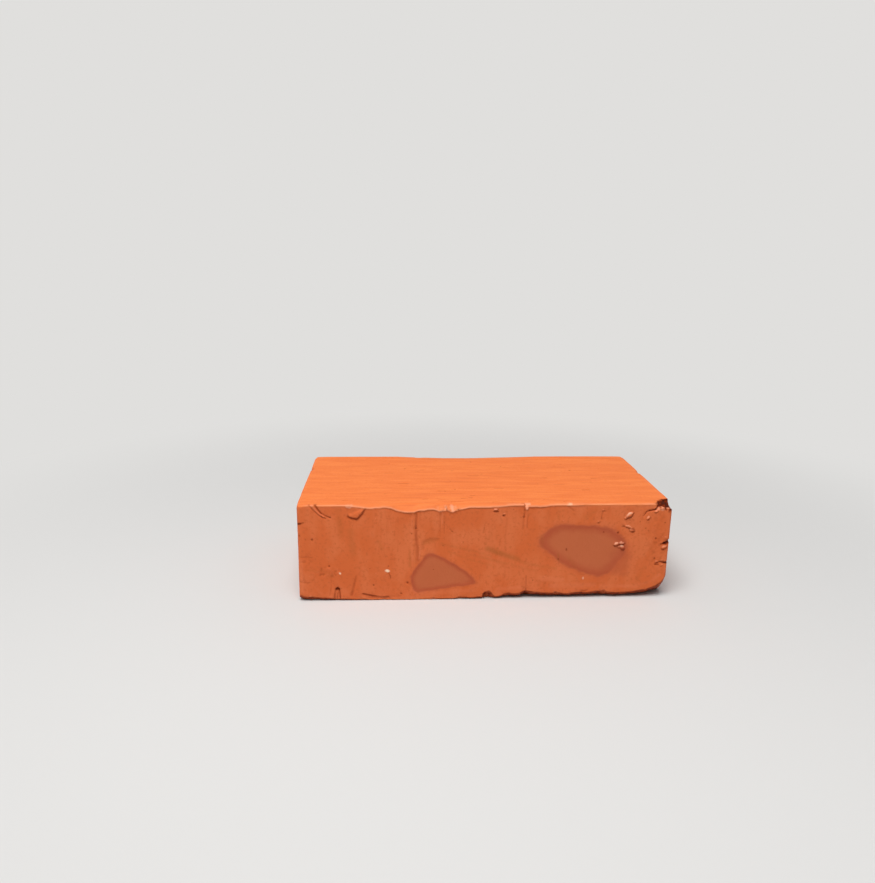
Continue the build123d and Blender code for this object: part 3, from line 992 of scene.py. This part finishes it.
def kiln_marks(nodes, place, x, z):
    """Painter of the marks left where bricks touched in the kiln."""
    wobble = nodes.math("SUBTRACT", nodes.noise(place, 0.22, detail=3.0), 0.5)

    def distance(mark):
        """Socket that gives the distance outside a mark, in mm."""
        (mark_x, mark_z), rounding, softness, sides = mark
        field = None
        for facing, offset in sides:
            turn = math.radians(facing)
            middle = mark_x * math.cos(turn) + mark_z * math.sin(turn)
            along = nodes.math("MULTIPLY_ADD", x, math.cos(turn), -middle - offset)
            beyond = nodes.math("MULTIPLY_ADD", z, math.sin(turn), along)
            field = beyond if field is None else nodes.math("SMOOTH_MAX", field, beyond, rounding)
        return nodes.math("MULTIPLY_ADD", wobble, 2.2 * softness, field)

    def paint(colour, face, mark, strength):
        """The colour with a mark laid over it on one face."""
        softness = mark[2]
        off = distance(mark)
        inside = nodes.times(nodes.ramp(off, 0.3 * softness, -1.1 * softness), face)
        rim = nodes.times(nodes.ramp(off, -4.4 * softness, -0.8 * softness), inside)
        halo = nodes.times(nodes.ramp(off, 2.0 * softness, -0.4 * softness), face)
        colour = nodes.tint(colour, KISS_RIM, halo, 0.22 * strength)
        colour = nodes.tint(colour, KISS_BROWN, inside, 0.85 * strength)
        return nodes.tint(colour, KISS_RIM, rim, 0.8 * strength)

    return paint


def fleck_mask(nodes, place, spacing, radius, share):
    """Sparse round flecks: about spacing mm apart, with only a share of them kept."""
    cells = nodes.fill(nodes.node("TexVoronoi"), {"Vector": place, "Scale": 1 / spacing}).outputs
    kept = nodes.math("LESS_THAN", nodes.split(cells["Color"])[0], share)
    dot = nodes.ramp(cells["Distance"], radius / spacing, 0.4 * radius / spacing)
    return nodes.times(dot, kept)


def new_material(name):
    """A material, the helper that adds its nodes, and its surface."""
    material = bpy.data.materials.new(name)
    material.use_nodes = True
    return material, Nodes(material.node_tree), material.node_tree.nodes["Principled BSDF"]


def fired_clay():
    """Orange-red fired clay: drawn smooth on its sides, dragged by the wire on its beds, with painted shade
    and painted highlights laid on from the marks on the mesh.
    """
    material, nodes, surface = new_material("fired_clay")
    place = nodes.vector("MULTIPLY", nodes.node("TexCoord").outputs["Object"], (1 / MM,) * 3)
    x, y, z = nodes.split(place)
    from_middle = nodes.math("ABSOLUTE", nodes.math("SUBTRACT", z, MIDDLE))
    bed = nodes.ramp(from_middle, MIDDLE - 1.4, MIDDLE - 0.6)

    # The drawn faces: broad clouds, fine freckles and faint upright streaks
    clouds = nodes.noise(place, 0.035, detail=4.0, roughness=0.6, distortion=0.8)
    freckles = nodes.noise(place, 0.55, detail=4.0, roughness=0.6)
    drawn = nodes.vector("MULTIPLY", place, (0.55, 0.55, 0.035))
    streaks = nodes.noise(drawn, detail=3.0)
    patches = nodes.noise(nodes.vector("MULTIPLY", place, (0.12, 0.12, 0.05)), detail=3.0)
    colour = nodes.mix(nodes.ramp(nodes.math("ADD", clouds, patches), 0.8, 1.2), CLAY_ORANGE, CLAY_PINK)
    patchy = nodes.times(nodes.ramp(streaks, 0.52, 0.8), nodes.ramp(clouds, 0.4, 0.65))
    colour = nodes.tint(colour, CLAY_BROWN, patchy, 0.35)
    colour = nodes.tint(colour, CLAY_BROWN, nodes.ramp(freckles, 0.5, 0.7), 0.6)

    # The cut beds: drag strokes along the length
    dragged = nodes.vector("MULTIPLY", place, (0.035, 0.26, 0.26))
    strokes = nodes.noise(dragged, detail=4.0, roughness=0.6, distortion=0.5)
    bed_colour = nodes.mix(nodes.ramp(strokes, 0.56, 0.36), BED_ORANGE, BED_PALE)
    scraped = nodes.times(nodes.ramp(strokes, 0.52, 0.7), nodes.ramp(clouds, 0.35, 0.6))
    bed_colour = nodes.tint(bed_colour, BED_BROWN, scraped, 0.36)
    bed_colour = nodes.tint(bed_colour, BED_BROWN, nodes.ramp(freckles, 0.54, 0.74), 0.3)
    cut = nodes.math("MAXIMUM", bed, nodes.attribute("cut"))
    colour = nodes.mix(cut, colour, bed_colour)

    dark_flecks = fleck_mask(nodes, place, 7.0, 0.42, 0.4)
    light_flecks = fleck_mask(nodes, place, 5.0, 0.38, 0.35)
    colour = nodes.tint(colour, GRIME_AND_SHADE_BROWN, dark_flecks, 0.55)
    colour = nodes.tint(colour, TORN_AND_HIGHLIGHT_PINK, light_flecks, 0.5)

    paint_mark = kiln_marks(nodes, place, x, z)
    front_face = nodes.ramp(y, FRONT + 3.0, FRONT + 1.5)
    for mark in KISS_MARKS:
        colour = paint_mark(colour, front_face, mark, 1.0)
    colour = paint_mark(colour, front_face, KILN_HAZE, 0.35)
    for mark in BACK_KISS_MARKS:
        colour = paint_mark(colour, nodes.ramp(y, BACK - 3.0, BACK - 1.5), mark, 0.6)

    # The marks on the mesh: stains, torn clay with painted highlights, grime with painted shade, and lime
    # with painted highlights
    for finish, strength, shade in (("stain", 0.85, STAIN_OLIVE), ("torn_and_highlight", 0.75, TORN_AND_HIGHLIGHT_PINK),
                                    ("grime", 0.85, GRIME_AND_SHADE_BROWN), ("pale_and_highlight", 0.95, LIME_AND_HIGHLIGHT_CREAM)):
        colour = nodes.tint(colour, shade, nodes.attribute(finish), strength)
    # The deepest painted shade, in the deepest cracks, the corner hollow, the nicks, the notch and under
    # the worn foot
    colour = nodes.tint(colour, DEEP_SHADE_BROWN, nodes.ramp(nodes.attribute("grime"), 0.9, 1.5), 0.75)

    grain = nodes.noise(place, 2.0, detail=5.0, roughness=0.65)
    height = nodes.math("MULTIPLY_ADD", grain, 0.7, nodes.times(streaks, 0.2))
    height = nodes.math("MULTIPLY_ADD", freckles, 0.5, height)
    height = nodes.math("MULTIPLY_ADD", nodes.times(strokes, bed), 1.2, height)
    height = nodes.math("MULTIPLY_ADD", dark_flecks, -0.8, height)
    bump = nodes.fill(nodes.node("Bump"), {"Strength": 0.7, "Distance": 0.3 * MM, "Height": height})
    dull = nodes.math("MULTIPLY_ADD", freckles, 0.3, 0.42)
    dull = nodes.math("MULTIPLY_ADD", bed, 0.08, dull)
    nodes.fill(surface, {"Base Color": colour, "Roughness": dull, "Specular IOR Level": 0.1,
                         "Normal": bump.outputs[0]})
    return material


def pale_paper():
    """Pale paper that catches the brick's shadow, and further off is seen as evenly pale."""
    material, nodes, surface = new_material("pale_paper")
    nodes.fill(surface, {"Base Color": (0.60, 0.59, 0.575, 1.0), "Roughness": 0.9})
    even = nodes.fill(nodes.node("Emission"), {"Color": shown_colour(224, 223, 221)})
    rays = nodes.node("LightPath").outputs
    mirrored = nodes.math("ADD", rays["Is Glossy Ray"], rays["Is Transmission Ray"])
    seen = nodes.math("ADD", rays["Is Camera Ray"], mirrored, clamp=True)
    away = nodes.vector("LENGTH", nodes.node("TexCoord").outputs["Object"])
    share = nodes.times(nodes.ramp(away, 0.16, 0.5), seen)
    blend = nodes.fed("MixShader", (share, surface.outputs[0], even.outputs[0]))
    nodes.fill(material.node_tree.nodes["Material Output"], {"Surface": blend[0]})
    return material


def studio_bowl():
    """Pale floor that curves up into a backdrop all round the brick."""
    flat, bend, rise, turns, steps = 2.2, 0.7, 2.4, 96, 16
    profile = [(0.02, 0.0), (flat, 0.0)]
    for step in range(1, steps + 1):
        tilt = math.pi / 2 * step / steps
        profile.append((flat + bend * math.sin(tilt), bend - bend * math.cos(tilt)))
    profile.append((flat + bend, rise))
    points, faces = [(0.0, 0.0, 0.0)], []
    for radius, up in profile:
        for turn in range(turns):
            angle = 2 * math.pi * turn / turns
            points.append((radius * math.cos(angle), radius * math.sin(angle), up))
    for turn in range(turns):
        after = (turn + 1) % turns
        faces.append((0, 1 + turn, 1 + after))
        for ring in range(len(profile) - 1):
            inner, outer = 1 + ring * turns, 1 + (ring + 1) * turns
            faces.append((inner + turn, outer + turn, outer + after, inner + after))
    mesh = bpy.data.meshes.new("studio_bowl")
    mesh.from_pydata(points, [], faces)
    mesh.shade_smooth()
    bowl = link(bpy.data.objects.new("studio_bowl", mesh))
    mesh.materials.append(pale_paper())


def photo_camera():
    """The photograph's viewpoint, worked out from the edges of the brick in it."""
    focal_px, long_side_px, sensor_mm = 726.9, 883, 36.0
    place = Vector((-0.0503, -0.4489, 0.2001))
    yaw, pitch, roll = (math.radians(angle) for angle in (-3.03, 14.46, 0.72))
    lens = bpy.data.cameras.new("photo_camera")
    lens.sensor_width = sensor_mm
    lens.lens = sensor_mm * focal_px / long_side_px
    lens.clip_start = 0.01
    camera = link(bpy.data.objects.new("photo_camera", lens))
    turn = (Matrix.Rotation(yaw, 4, "Z") @ Matrix.Rotation(math.pi / 2 - pitch, 4, "X")
            @ Matrix.Rotation(roll, 4, "Z"))
    camera.matrix_world = Matrix.Translation(place) @ turn
    bpy.context.scene.camera = camera


def studio_light():
    """One broad lamp overhead in front, in an evenly bright room."""
    world = bpy.data.worlds.new("studio")
    world.use_nodes = True
    background = world.node_tree.nodes["Background"]
    background.inputs["Color"].default_value = (0.93, 0.96, 1.0, 1.0)
    background.inputs["Strength"].default_value = 0.41
    bpy.context.scene.world = world
    lamp = bpy.data.lights.new("overhead", "AREA")
    lamp.size = 0.9
    lamp.energy = 27.3
    light = link(bpy.data.objects.new("overhead", lamp))
    light.location = (-0.25, -0.6, 1.45)
    light.rotation_euler = (-light.location).to_track_quat("-Z", "Y").to_euler()


skin = fired_skin()
skin.data.materials.append(fired_clay())
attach(skin, "root")
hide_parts("brick")

studio_bowl()
studio_light()
photo_camera()
bpy.context.scene.view_settings.view_transform = "Standard"
